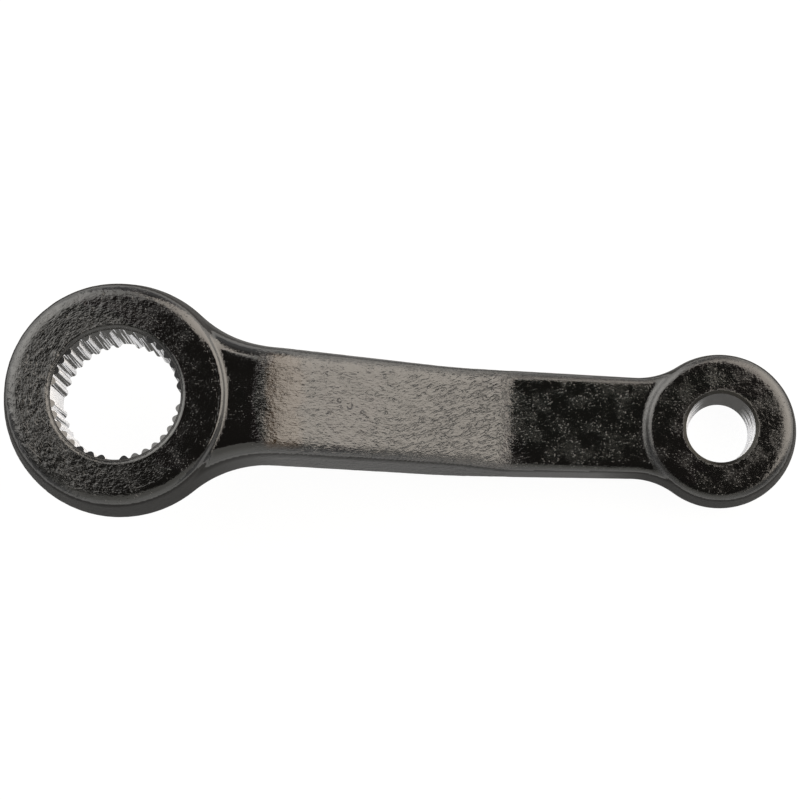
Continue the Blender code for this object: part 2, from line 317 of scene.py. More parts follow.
def machinedSteel(cut):
    # Bare carbon steel straight from the tool: bright, with fine marks along the cut. The side of each bore
    # that faces the front is painted darker, in streaks: painted shade for the dark reflection those walls
    # show.
    material = bpy.data.materials.new(cut["name"])
    material.use_nodes = True
    tree = material.node_tree
    shader = tree.nodes["Principled BSDF"]
    place = addNode(tree, "ShaderNodeTexCoord").outputs["Object"]
    facing = addNode(tree, "ShaderNodeAttribute", attribute_name="shadeFacing").outputs["Fac"]
    along = addNode(tree, "ShaderNodeMapping", {"Vector": place, "Scale": cut["stretch"]}).outputs[0]
    marks = addNode(tree, "ShaderNodeTexNoise", {
        "Vector": along, "Scale": 1 / (bareSteel["markMm"] * mm), "Detail": 1.0}).outputs[0]
    begin, full = bareSteel["streakBetween"]
    streak = addNode(tree, "ShaderNodeMapRange", {
        0: marks, 1: begin, 2: full, 3: -cut["streaks"] / 2, 4: cut["streaks"] / 2}).outputs[0]
    wavering = addNode(tree, "ShaderNodeMath", {0: facing, 1: streak}, operation="ADD").outputs[0]
    # painted shade: faces that look towards the front, broken into streaks, turn to the darker tone
    begin, full = bareSteel["darkBetween"]
    darkened = addNode(tree, "ShaderNodeMapRange", {0: wavering, 1: begin, 2: full}).outputs[0]
    tone = addNode(tree, "ShaderNodeMix", {
        "Factor": darkened, 6: linearFromHex(bareSteel["colour"]), 7: linearFromHex(bareSteel["darkTone"])},
        data_type="RGBA").outputs[2]
    bump = addNode(tree, "ShaderNodeBump", {
        "Height": marks, "Distance": bareSteel["markDepthMm"] * mm, "Strength": 1.0}).outputs[0]
    shader.inputs["Metallic"].default_value = 1.0
    shader.inputs["Roughness"].default_value = bareSteel["roughness"]
    shader.inputs["Anisotropic"].default_value = bareSteel["anisotropy"]
    shader.inputs["Anisotropic Rotation"].default_value = bareSteel["turn"]
    tree.links.new(tone, shader.inputs["Base Color"])
    tree.links.new(bump, shader.inputs["Normal"])
    return material


def storeShadeFacing(obj, cut):
    # how squarely each face of a bore looks towards the painted shade's direction, given round from +X
    normals = np.empty(len(obj.data.polygons) * 3)
    obj.data.polygons.foreach_get("normal", normals)
    turn = math.radians(cut["shadeFromDeg"])
    facing = normals.reshape(-1, 3) @ np.array([math.cos(turn), math.sin(turn), bareSteel["darkOnTop"]])
    layer = obj.data.attributes.new("shadeFacing", "FLOAT", "FACE")
    layer.data.foreach_set("value", facing)


paint = blackEnamel("glossBlackPaint", blackPaint["faceSpecular"])
dryPaint = blackEnamel("dryBlackPaint", blackPaint["wallSpecular"])
broachedSteel = machinedSteel(broached)
reamedSteel = machinedSteel(reamed)
print("materials made")


# the forging's lengths are in mm
arm = {
    "centreDistance": 148.0,
    "draft": math.radians(7.0),
    "flashLand": 1.2,
    "shankWidthAtHub": 30.9,
    "shankWidthAtEye": 24.5,
    "shankEdgeAtHub": 5.3,
    "shankEdgeAtEye": 0.9,
    "crankStart": 39.6,
    "crankEnd": 94.5,
    "upperBend": 5.0,
    "lowerBend": 1.6,
    "bellyBend": 6.0,
    "hubNeck": 28.0,
    "eyeNeck": 18.0,
    "rootSink": 0.4,
    "stationEvery": 0.5,
    "edgeSteps": 10,
}
# edge is the rounded rim; freeEdge is the same on the side away from the shank.
# foot gives the radii at which the boss leaves its level face, turns, and reaches the shank.
hub = {"x": 0.0, "top": 0.0, "bottom": -30.0, "radius": 28.8, "edge": 3.2, "freeEdge": 3.2,
       "step": 1.5, "foot": (25.4, 26.5, 27.35), "toShank": 1, "segments": 288}
eye = {"x": 148.0, "top": -28.5, "bottom": -48.5, "radius": 19.3, "edge": 1.9, "freeEdge": 2.7,
       "step": 1.5, "foot": (16.9, 18.35, 19.6), "toShank": -1, "segments": 216}


def wallAndEdge(outer, parting, face, edge, spread=1.0):
    # drafted wall from the parting line, then a rounded edge up to the face
    rise = 1 if face > parting else -1
    land = arm["flashLand"] / 2
    run = (abs(face - parting) - land) * math.tan(arm["draft"])
    centre = outer - run - edge * math.tan((math.pi / 2 - arm["draft"]) / 2)
    points = [(outer, parting + rise * land)]
    for i in range(arm["edgeSteps"] + 1):
        turn = arm["draft"] + (math.pi / 2 - arm["draft"]) * i / arm["edgeSteps"]
        out = centre + edge * math.cos(turn)
        points.append((outer - (outer - out) * spread, face + rise * edge * (math.sin(turn) - 1)))
    return points


def eyeBlank(name, end):
    parting = (end["top"] + end["bottom"]) / 2
    sides = []
    for i in range(end["segments"]):
        turn = 2 * math.pi * i / end["segments"]
        free = max(0.0, -end["toShank"] * math.cos(turn))
        edge = end["edge"] + (end["freeEdge"] - end["edge"]) * free
        lower = wallAndEdge(end["radius"], parting, end["bottom"], edge)
        upper = wallAndEdge(end["radius"], parting, end["top"], edge)
        sides.append([((end["x"] + radius * math.cos(turn)) * mm, radius * math.sin(turn) * mm, height * mm)
                      for radius, height in list(reversed(lower)) + upper])
    return addObject(name, *skinRings([list(ring) for ring in zip(*sides)]))


def crankLine(first, last, start, finish, startReach, finishReach):
    # side view of one edge of the shank: level, inclined, level, with rounded corners
    def sharp(x):
        return first + (last - first) * min(max((x - start) / (finish - start), 0.0), 1.0)

    def height(x):
        for cornerX, cornerZ, reach in ((start, first, startReach), (finish, last, finishReach)):
            if abs(x - cornerX) < reach:
                u = (x - cornerX + reach) / (2 * reach)
                return ((1 - u) ** 2 * sharp(cornerX - reach) + 2 * u * (1 - u) * cornerZ
                        + u ** 2 * sharp(cornerX + reach))
        return sharp(x)

    return height


def crankLines():
    topFirst, topLast = hub["top"] - hub["step"], eye["top"] - eye["step"]
    lowFirst, lowLast = hub["bottom"] + hub["step"], eye["bottom"] + eye["step"]
    slope = (topLast - topFirst) / (arm["crankEnd"] - arm["crankStart"])
    upright = (topFirst - lowFirst) * math.sqrt(1 + slope ** 2)

    def where(level, depth):
        return arm["crankStart"] + (level + depth - topFirst) / slope

    midFirst, midLast = (topFirst + lowFirst) / 2, (topLast + lowLast) / 2
    top = crankLine(topFirst, topLast, arm["crankStart"], arm["crankEnd"],
                    arm["upperBend"], arm["lowerBend"])
    middle = crankLine(midFirst, midLast, where(midFirst, upright / 2), where(midLast, upright / 2),
                       arm["upperBend"], arm["bellyBend"])
    bottom = crankLine(lowFirst, lowLast, where(lowFirst, upright), where(lowLast, upright),
                       arm["upperBend"], arm["bellyBend"])
    return top, middle, bottom


def planOutline():
    # half width of the shank, with a neck arc into each eye, and how far a wall leans across it
    slope = (arm["shankWidthAtEye"] - arm["shankWidthAtHub"]) / 2 / arm["centreDistance"]
    base = arm["shankWidthAtHub"] / 2
    long = math.sqrt(1 + slope ** 2)

    def neck(end, radius, side):
        lift = base + radius * long
        b = 2 * (slope * lift - end["x"])
        c = end["x"] ** 2 + lift ** 2 - (end["radius"] + radius) ** 2
        x = (-b + side * math.sqrt(b * b - 4 * long ** 2 * c)) / (2 * long ** 2)
        onEye = end["x"] + (x - end["x"]) * end["radius"] / (end["radius"] + radius)
        return {"x": x, "y": slope * x + lift, "radius": radius, "onEye": onEye,
                "onSide": x + slope * radius / long}

    atHub, atEye = neck(hub, arm["hubNeck"], 1), neck(eye, arm["eyeNeck"], -1)

    def at(x):
        if x < atHub["onEye"]:
            return math.sqrt((hub["radius"] - arm["rootSink"]) ** 2 - (x - hub["x"]) ** 2), 1.0
        if x > atEye["onEye"]:
            return math.sqrt((eye["radius"] - arm["rootSink"]) ** 2 - (x - eye["x"]) ** 2), 1.0
        for arc in (atHub, atEye):
            if min(arc["onEye"], arc["onSide"]) <= x <= max(arc["onEye"], arc["onSide"]):
                depth = math.sqrt(arc["radius"] ** 2 - (x - arc["x"]) ** 2)
                return arc["y"] - depth, math.sqrt(1 + ((x - arc["x"]) / depth) ** 2)
        return base + slope * x, 1.0

    return at, (hub["x"] + atHub["onEye"]) / 2, (eye["x"] + atEye["onEye"]) / 2


def shankBlank():
    top, middle, bottom = crankLines()
    at, first, last = planOutline()
    count = int((last - first) / arm["stationEvery"])
    rings = []
    for i in range(count + 1):
        x = first + (last - first) * i / count
        share = x / arm["centreDistance"]
        edge = arm["shankEdgeAtHub"] + (arm["shankEdgeAtEye"] - arm["shankEdgeAtHub"]) * share
        half, spread = at(x)
        upper = wallAndEdge(half, middle(x), top(x), edge, spread)
        lower = wallAndEdge(half, middle(x), bottom(x), edge, spread)
        side = list(reversed(lower)) + upper
        ring = [(x * mm, y * mm, z * mm) for y, z in side]
        ring += [(x * mm, -y * mm, z * mm) for y, z in reversed(side)]
        rings.append(ring)
    return addObject("shankBlank", *skinRings(rings))


def joined(name, parts):
    points, faces = [], []
    for part in parts:
        start = len(points)
        points += [v.co[:] for v in part.data.vertices]
        faces += [tuple(start + i for i in face.vertices) for face in part.data.polygons]
        bpy.data.objects.remove(part)
    return addObject(name, points, faces)


skin = {
    "voxelMm": 0.53,
    "rounds": 3,
    "pull": 0.5,
    "footFull": math.radians(26),
    "footGone": math.radians(42),
    "footFade": 0.3,
    "footDeep": 1.0,
}
sharpEdge = {"forged": math.radians(38), "machined": math.radians(40)}


def shapeFeet(points):
    # where a boss stands on the shank it turns over into a small fillet: two arcs that share a slope
    for end in (hub, eye):
        start, turn, finish = end["foot"]
        steepest = 2 * math.atan(end["step"] / (finish - start))
        x, y = points[:, 0] / mm - end["x"], points[:, 1] / mm
        away = np.hypot(x, y)
        aside = np.abs(np.arctan2(y, x * end["toShank"]))
        share = np.clip((skin["footGone"] - aside) / (skin["footGone"] - skin["footFull"]), 0, 1)
        for inside in (away - start, finish - away):
            share *= np.clip(inside / skin["footFade"] + 1, 0, 1)
        over, under = (turn - start) / math.sin(steepest), (finish - turn) / math.sin(steepest)
        drop = np.where(
            away < turn,
            over - np.sqrt(over ** 2 - np.clip(away - start, 0, turn - start) ** 2),
            end["step"] - under + np.sqrt(under ** 2 - np.clip(finish - away, 0, finish - turn) ** 2))
        for face, rise in ((end["top"], 1), (end["bottom"], -1)):
            depth = (face - points[:, 2] / mm) * rise
            near = share * (depth < end["step"] + skin["footDeep"])
            points[:, 2] += near * ((face - rise * drop) * mm - points[:, 2])


def relax(points, edges, rounds):
    a, b = edges[:, 0], edges[:, 1]
    count = np.bincount(edges.ravel(), minlength=len(points))[:, None]
    for _ in range(rounds):
        total = np.empty_like(points)
        for axis in range(3):
            total[:, axis] = (np.bincount(a, points[b, axis], len(points))
                              + np.bincount(b, points[a, axis], len(points)))
        points += skin["pull"] * (total / count - points)


def forgingBlank():
    blank = joined("pitmanArmForging",
                   [eyeBlank("hubBlank", hub), eyeBlank("eyeBlank", eye), shankBlank()])
    remesh = blank.modifiers.new("voxels", "REMESH")
    remesh.mode = "VOXEL"
    remesh.voxel_size = skin["voxelMm"] * mm
    applyModifiers(blank)
    mesh = blank.data
    points = np.empty(len(mesh.vertices) * 3)
    mesh.vertices.foreach_get("co", points)
    points = points.reshape(-1, 3)
    edges = np.empty(len(mesh.edges) * 2, dtype=np.int32)
    mesh.edges.foreach_get("vertices", edges)
    edges = edges.reshape(-1, 2)
    relax(points, edges, skin["rounds"])
    shapeFeet(points)
    mesh.vertices.foreach_set("co", points.ravel())
    mesh.update()
    return blank


serration = {
    "Positions": 36,
    "Master Gaps": 4,
    "Root Radius": 15.875 * mm,
    "Tooth Height": 0.95 * mm,
    "Tooth Width": 2.25 * mm,
    "Tooth Sink": 0.25 * mm,
    "Hub Length": 30.0 * mm,
    "Mouth Chamfer": 0.8 * mm,
    "Close In": 0.3 * mm,
    "Sleeve Wall": 0.4 * mm,
    "Sleeve Sides": 216,
    "Tooth Sides": 24,
    "Tooth Rings": 8,
}
# lengths in mm; the seat's steel stands proud of the hole cut for it
seat = {"largeRadius": 8.6, "taper": 0.1, "chamfer": 0.75, "exitChamfer": 0.5, "wall": 0.4, "proud": 0.03,
        "segments": 160}
cutter = {"clearance": 0.02, "mouthRound": 0.9, "mouthSteps": 5, "overrun": 2.0}


def boreCutters():
    root, chamfer = serration["Root Radius"] / mm + cutter["clearance"], serration["Mouth Chamfer"] / mm
    narrow = root - serration["Close In"] / mm
    mouthRound, overrun = cutter["mouthRound"], cutter["overrun"]
    # the paint rounds the corner between each chamfer and its face
    corner = []
    for i in range(cutter["mouthSteps"] + 1):
        turn = math.pi / 4 * (1 + i / cutter["mouthSteps"])
        corner.append((chamfer + mouthRound * (math.tan(math.pi / 8) - math.cos(turn)),
                       mouthRound * (math.sin(turn) - 1)))
    corner.append((corner[-1][0], overrun))
    hubCutter = turned("hubCutter", (
        [(narrow + out, hub["bottom"] - up) for out, up in reversed(corner)]
        + [(narrow, hub["bottom"] + chamfer), (root, hub["top"] - chamfer)]
        + [(root + out, hub["top"] + up) for out, up in corner]), hub["x"] * mm, hub["segments"])
    seatTop, seatLow = eye["top"] - seat["chamfer"], eye["bottom"] + seat["exitChamfer"]
    small = seat["largeRadius"] - (seatTop - seatLow) * seat["taper"] / 2
    eyeCutter = turned("eyeCutter", [
        (small + seat["exitChamfer"] + overrun, eye["bottom"] - overrun),
        (small, seatLow),
        (seat["largeRadius"], seatTop),
        (seat["largeRadius"] + seat["chamfer"] + overrun, eye["top"] + overrun),
    ], eye["x"] * mm, seat["segments"])
    return [hubCutter, eyeCutter]


def cutBores(forging):
    shapes = boreCutters()
    for shape in shapes:
        cut = forging.modifiers.new(shape.name, "BOOLEAN")
        cut.operation = "DIFFERENCE"
        cut.solver = "EXACT"
        cut.object = shape
    applyModifiers(forging)
    for shape in shapes:
        bpy.data.objects.remove(shape)


forgedSkin = {
    "Lump Size": 2.0 * mm,
    "Lump Depth": 0.22 * mm,
    "Crease Size": 2.0 * mm,
    "Crease Depth": 0.26 * mm,
    "Crease Width": 0.05,
    "Arm Crease Share": 0.55,
    "Break Share": 0.6,
    "Break From": 0.46,
    "Break To": 0.60,
    "Wall Share": 0.85,
    "Wall Level": 0.35,
    "Face Level": 0.85,
    "Wall Begins": 0.46,
    "Grain Stretch": 0.45,
    "Lap Radius": 20.0 * mm,
    "Swerve From": 68.0 * mm,
    "Swerve": -0.4,
    "Hub Reach": 27.3 * mm,
}
# how rough the forging skin is along the arm: (X in mm, share)
roughAlong = [(-30, 0.70), (-12, 0.62), (6, 0.34), (18, 0.17), (27, 0.13), (29, 0.11), (33, 0.12),
              (35.5, 0.72), (46, 0.78), (70, 0.84), (80, 0.92), (94, 0.94), (97, 0.30), (104, 0.22),
              (130, 0.20), (148, 0.21), (170, 0.21)]
# where the wider noise that breaks up the folds is read, away from the folds' own
elsewhere = (0.31, 0.17, 0.05)


def skinGrain(tree, given, split, upright):
    # round the hub the folds follow the circle, along the shank they follow the arm
    wallZ = addNode(tree, "ShaderNodeMath", {0: split["Z"], 1: upright}, operation="MULTIPLY").outputs[0]
    flat = addNode(tree, "ShaderNodeCombineXYZ", {0: split["X"], 1: split["Y"]}).outputs[0]
    away = addNode(tree, "ShaderNodeVectorMath", {0: flat}, operation="LENGTH").outputs["Value"]
    around = addNode(tree, "ShaderNodeVectorMath", {0: flat}, operation="NORMALIZE").outputs[0]
    lap = addNode(tree, "ShaderNodeMath", {0: given["Grain Stretch"], 1: given["Lap Radius"]},
                  operation="MULTIPLY").outputs[0]
    ringPlace = addNode(tree, "ShaderNodeVectorMath", {0: around, 3: lap}, operation="SCALE").outputs[0]
    outward = addNode(tree, "ShaderNodeMath", {0: away, 1: wallZ}, operation="ADD").outputs[0]
    outwardZ = addNode(tree, "ShaderNodeCombineXYZ", {2: outward}).outputs[0]
    hubGrain = addNode(tree, "ShaderNodeVectorMath", {0: ringPlace, 1: outwardZ}, operation="ADD").outputs[0]
    alongX = addNode(tree, "ShaderNodeMath", {0: split["X"], 1: given["Grain Stretch"]},
                     operation="MULTIPLY").outputs[0]
    # low on the incline the folds swerve to one side
    beyond = addNode(tree, "ShaderNodeMath", {0: split["X"], 1: given["Swerve From"]},
                     operation="SUBTRACT").outputs[0]
    beyond = addNode(tree, "ShaderNodeMath", {0: beyond, 1: 0.0}, operation="MAXIMUM").outputs[0]
    aside = addNode(tree, "ShaderNodeMath", {0: beyond, 1: given["Swerve"], 2: split["Y"]},
                    operation="MULTIPLY_ADD").outputs[0]
    armGrain = addNode(tree, "ShaderNodeCombineXYZ", {0: alongX, 1: aside, 2: wallZ}).outputs[0]
    onArm = addNode(tree, "ShaderNodeMath", {0: away, 1: given["Hub Reach"]},
                    operation="GREATER_THAN").outputs[0]
    grain = addNode(tree, "ShaderNodeMix", {"Factor": onArm, 4: hubGrain, 5: armGrain},
                    data_type="VECTOR").outputs[1]
    return grain, onArm


def skinCrease(tree, given, grain):
    # folds: thin valleys where the noise crosses its middle, broken up by a wider noise
    foldScale = addNode(tree, "ShaderNodeMath", {0: 1.0, 1: given["Crease Size"]},
                        operation="DIVIDE").outputs[0]
    fold = addNode(tree, "ShaderNodeTexNoise", {
        "Vector": grain, "Scale": foldScale, "Detail": 2.0}).outputs[0]
    breakScale = addNode(tree, "ShaderNodeMath", {0: foldScale, 1: given["Break Share"]},
                         operation="MULTIPLY").outputs[0]
    shifted = addNode(tree, "ShaderNodeVectorMath", {0: grain, 1: elsewhere}, operation="ADD").outputs[0]
    breaks = addNode(tree, "ShaderNodeTexNoise", {
        "Vector": shifted, "Scale": breakScale, "Detail": 1.0}).outputs[0]
    offMiddle = addNode(tree, "ShaderNodeMath", {0: fold, 1: 0.5}, operation="SUBTRACT").outputs[0]
    nearMiddle = addNode(tree, "ShaderNodeMath", {0: offMiddle}, operation="ABSOLUTE").outputs[0]
    valley = addNode(tree, "ShaderNodeMapRange", {
        0: nearMiddle, 1: 0.0, 2: given["Crease Width"], 3: 1.0, 4: 0.0},
        interpolation_type="SMOOTHSTEP").outputs[0]
    kept = addNode(tree, "ShaderNodeMapRange", {
        0: breaks, 1: given["Break From"], 2: given["Break To"]}).outputs[0]
    return addNode(tree, "ShaderNodeMath", {0: valley, 1: kept}, operation="MULTIPLY").outputs[0]


def skinShare(tree, given, x, level):
    first, last = roughAlong[0][0], roughAlong[-1][0]
    along = addNode(tree, "ShaderNodeMapRange", {0: x, 1: first * mm, 2: last * mm}).outputs[0]
    ramp = addNode(tree, "ShaderNodeValToRGB", {0: along})
    for i, (at, share) in enumerate(roughAlong):
        position = (at - first) / (last - first)
        stop = ramp.color_ramp.elements[i] if i < 2 else ramp.color_ramp.elements.new(position)
        stop.position = position
        stop.color = (share, share, share, 1.0)
    wallShare = addNode(tree, "ShaderNodeMapRange", {
        0: level, 1: given["Wall Level"], 2: given["Face Level"], 3: given["Wall Share"], 4: 1.0}).outputs[0]
    return addNode(tree, "ShaderNodeMath", {0: ramp.outputs[0], 1: wallShare},
                   operation="MULTIPLY").outputs[0]


def forgedSkinTree():
    tree = openTree("forgedSkin", {
        **{name: "Float" for name in forgedSkin}, "Paint": "Material", "Wall Paint": "Material"})
    given = addNode(tree, "NodeGroupInput").outputs
    place = addNode(tree, "GeometryNodeInputPosition").outputs[0]
    normal = addNode(tree, "GeometryNodeInputNormal").outputs[0]
    split = addNode(tree, "ShaderNodeSeparateXYZ", {0: place}).outputs
    facing = addNode(tree, "ShaderNodeSeparateXYZ", {0: normal}).outputs
    level = addNode(tree, "ShaderNodeMath", {0: facing["Z"]}, operation="ABSOLUTE").outputs[0]
    upright = addNode(tree, "ShaderNodeMath", {0: 1.0, 1: level}, operation="SUBTRACT").outputs[0]
    grain, onArm = skinGrain(tree, given, split, upright)
    crease = skinCrease(tree, given, grain)
    share = skinShare(tree, given, split["X"], level)
    # lumps and folds sink the skin along its normal
    lumpScale = addNode(tree, "ShaderNodeMath", {0: 1.0, 1: given["Lump Size"]},
                        operation="DIVIDE").outputs[0]
    lump = addNode(tree, "ShaderNodeTexNoise", {
        "Vector": place, "Scale": lumpScale, "Detail": 2.0}).outputs[0]
    lumpDeep = addNode(tree, "ShaderNodeMath", {0: lump, 1: given["Lump Depth"]},
                       operation="MULTIPLY").outputs[0]
    creaseShare = addNode(tree, "ShaderNodeMapRange", {
        0: onArm, 3: 1.0, 4: given["Arm Crease Share"]}).outputs[0]
    creased = addNode(tree, "ShaderNodeMath", {0: crease, 1: share}, operation="MULTIPLY").outputs[0]
    creased = addNode(tree, "ShaderNodeMath", {0: creased, 1: creaseShare}, operation="MULTIPLY").outputs[0]
    deep = addNode(tree, "ShaderNodeMath", {0: creased, 1: given["Crease Depth"], 2: lumpDeep},
                   operation="MULTIPLY_ADD").outputs[0]
    depth = addNode(tree, "ShaderNodeMath", {0: deep, 1: share}, operation="MULTIPLY").outputs[0]
    inward = addNode(tree, "ShaderNodeMath", {0: depth, 1: -1.0}, operation="MULTIPLY").outputs[0]
    offset = addNode(tree, "ShaderNodeVectorMath", {0: normal, 3: inward}, operation="SCALE").outputs[0]
    # the paint reads the flow of the folds, how upright the wall is, and how coarse the skin is
    marked = given["Geometry"]
    for label, kind, value in (
            ("flow", "FLOAT_VECTOR", grain), ("upright", "FLOAT", upright), ("coarse", "FLOAT", share)):
        marked = addNode(tree, "GeometryNodeStoreNamedAttribute", {
            "Geometry": marked, "Name": label, "Value": value}, data_type=kind, domain="POINT").outputs[0]
    moved = addNode(tree, "GeometryNodeSetPosition", {"Geometry": marked, "Offset": offset}).outputs[0]
    smooth = addNode(tree, "GeometryNodeSetShadeSmooth", {0: moved}).outputs[0]
    whole = addNode(tree, "GeometryNodeRealizeInstances", {0: smooth}).outputs[0]
    glossy = addNode(tree, "GeometryNodeSetMaterial", {
        "Geometry": whole, "Material": given["Paint"]}).outputs[0]
    stored = addNode(tree, "GeometryNodeInputNamedAttribute", {"Name": "upright"},
                     data_type="FLOAT").outputs[0]
    steep = addNode(tree, "ShaderNodeMath", {0: stored, 1: given["Wall Begins"]},
                    operation="GREATER_THAN").outputs[0]
    dressed = addNode(tree, "GeometryNodeSetMaterial", {
        "Geometry": glossy, "Selection": steep, "Material": given["Wall Paint"]}).outputs[0]
    addNode(tree, "NodeGroupOutput", {0: dressed})
    return tree


def toothRib(tree, given, halfHub):
    # a unit cylinder pressed into a rounded rib with its foot sunk in the sleeve
    rod = addNode(tree, "GeometryNodeMeshCylinder", {
        "Vertices": given["Tooth Sides"], "Side Segments": given["Tooth Rings"], "Radius": 1.0,
        "Depth": 1.0}, fill_type="NGON").outputs[0]
    unit = addNode(tree, "GeometryNodeInputPosition").outputs[0]
    at = addNode(tree, "ShaderNodeSeparateXYZ", {0: unit}).outputs
    up = addNode(tree, "ShaderNodeMath", {0: at["Y"], 1: 0.0}, operation="MAXIMUM").outputs[0]
    down = addNode(tree, "ShaderNodeMath", {0: at["Y"], 1: 0.0}, operation="MINIMUM").outputs[0]
    arch = addNode(tree, "ShaderNodeMath", {0: up, 1: up}, operation="MULTIPLY").outputs[0]
    rise = addNode(tree, "ShaderNodeMath", {0: arch, 1: given["Tooth Height"]},
                   operation="MULTIPLY").outputs[0]
    sink = addNode(tree, "ShaderNodeMath", {0: down, 1: given["Tooth Sink"]}, operation="MULTIPLY").outputs[0]
    inner = addNode(tree, "ShaderNodeMath", {0: given["Root Radius"], 1: rise},
                    operation="SUBTRACT").outputs[0]
    radial = addNode(tree, "ShaderNodeMath", {0: inner, 1: sink}, operation="SUBTRACT").outputs[0]
    halfWidth = addNode(tree, "ShaderNodeMath", {0: given["Tooth Width"], 1: 0.5},
                        operation="MULTIPLY").outputs[0]
    across = addNode(tree, "ShaderNodeMath", {0: at["X"], 1: halfWidth}, operation="MULTIPLY").outputs[0]
    # both ends slope at 45 degrees, where the mouth's chamfer cuts the tooth
    cutBack = addNode(tree, "ShaderNodeMath", {0: given["Mouth Chamfer"], 1: rise},
                      operation="ADD").outputs[0]
    twice = addNode(tree, "ShaderNodeMath", {0: cutBack, 1: 2.0}, operation="MULTIPLY").outputs[0]
    toothLong = addNode(tree, "ShaderNodeMath", {0: given["Hub Length"], 1: twice},
                        operation="SUBTRACT").outputs[0]
    height = addNode(tree, "ShaderNodeMath", {0: at["Z"], 1: toothLong, 2: halfHub},
                     operation="MULTIPLY_ADD").outputs[0]
    pressed = addNode(tree, "ShaderNodeCombineXYZ", {0: radial, 1: across, 2: height}).outputs[0]
    return addNode(tree, "GeometryNodeSetPosition", {"Geometry": rod, "Position": pressed}).outputs[0]


def spacedTeeth(tree, given, tooth):
    # the teeth stand at every position but the master gaps
    spots = addNode(tree, "GeometryNodePoints", {"Count": given["Positions"]}).outputs[0]
    index = addNode(tree, "GeometryNodeInputIndex").outputs[0]
    perGap = addNode(tree, "ShaderNodeMath", {0: given["Positions"], 1: given["Master Gaps"]},
                     operation="DIVIDE").outputs[0]
    left = addNode(tree, "ShaderNodeMath", {0: index, 1: perGap}, operation="MODULO").outputs[0]
    toothed = addNode(tree, "ShaderNodeMath", {0: left, 1: 0.5}, operation="GREATER_THAN").outputs[0]
    pitch = addNode(tree, "ShaderNodeMath", {0: 2 * math.pi, 1: given["Positions"]},
                    operation="DIVIDE").outputs[0]
    turn = addNode(tree, "ShaderNodeMath", {0: index, 1: pitch}, operation="MULTIPLY").outputs[0]
    facing = addNode(tree, "ShaderNodeCombineXYZ", {2: turn}).outputs[0]
    return addNode(tree, "GeometryNodeInstanceOnPoints", {
        "Points": spots, "Selection": toothed, "Instance": tooth, "Rotation": facing}).outputs[0]


def boreSleeve(tree, given, halfHub):
    # the bore's own wall, a thin closed sleeve between the two chamfers
    halfWall = addNode(tree, "ShaderNodeMath", {0: given["Sleeve Wall"], 1: 0.5},
                       operation="MULTIPLY").outputs[0]
    ringAt = addNode(tree, "ShaderNodeMath", {0: given["Root Radius"], 1: halfWall},
                     operation="ADD").outputs[0]
    ring = addNode(tree, "GeometryNodeCurvePrimitiveCircle", {
        "Resolution": given["Sleeve Sides"], "Radius": ringAt}).outputs[0]
    bothChamfers = addNode(tree, "ShaderNodeMath", {0: given["Mouth Chamfer"], 1: 2.0},
                           operation="MULTIPLY").outputs[0]
    sleeveLong = addNode(tree, "ShaderNodeMath", {0: given["Hub Length"], 1: bothChamfers},
                         operation="SUBTRACT").outputs[0]
    section = addNode(tree, "GeometryNodeCurvePrimitiveQuadrilateral", {
        "Width": given["Sleeve Wall"], "Height": sleeveLong}).outputs[0]
    sleeve = addNode(tree, "GeometryNodeCurveToMesh", {"Curve": ring, "Profile Curve": section}).outputs[0]
    lower = addNode(tree, "ShaderNodeCombineXYZ", {2: halfHub}).outputs[0]
    return addNode(tree, "GeometryNodeSetPosition", {"Geometry": sleeve, "Offset": lower}).outputs[0]


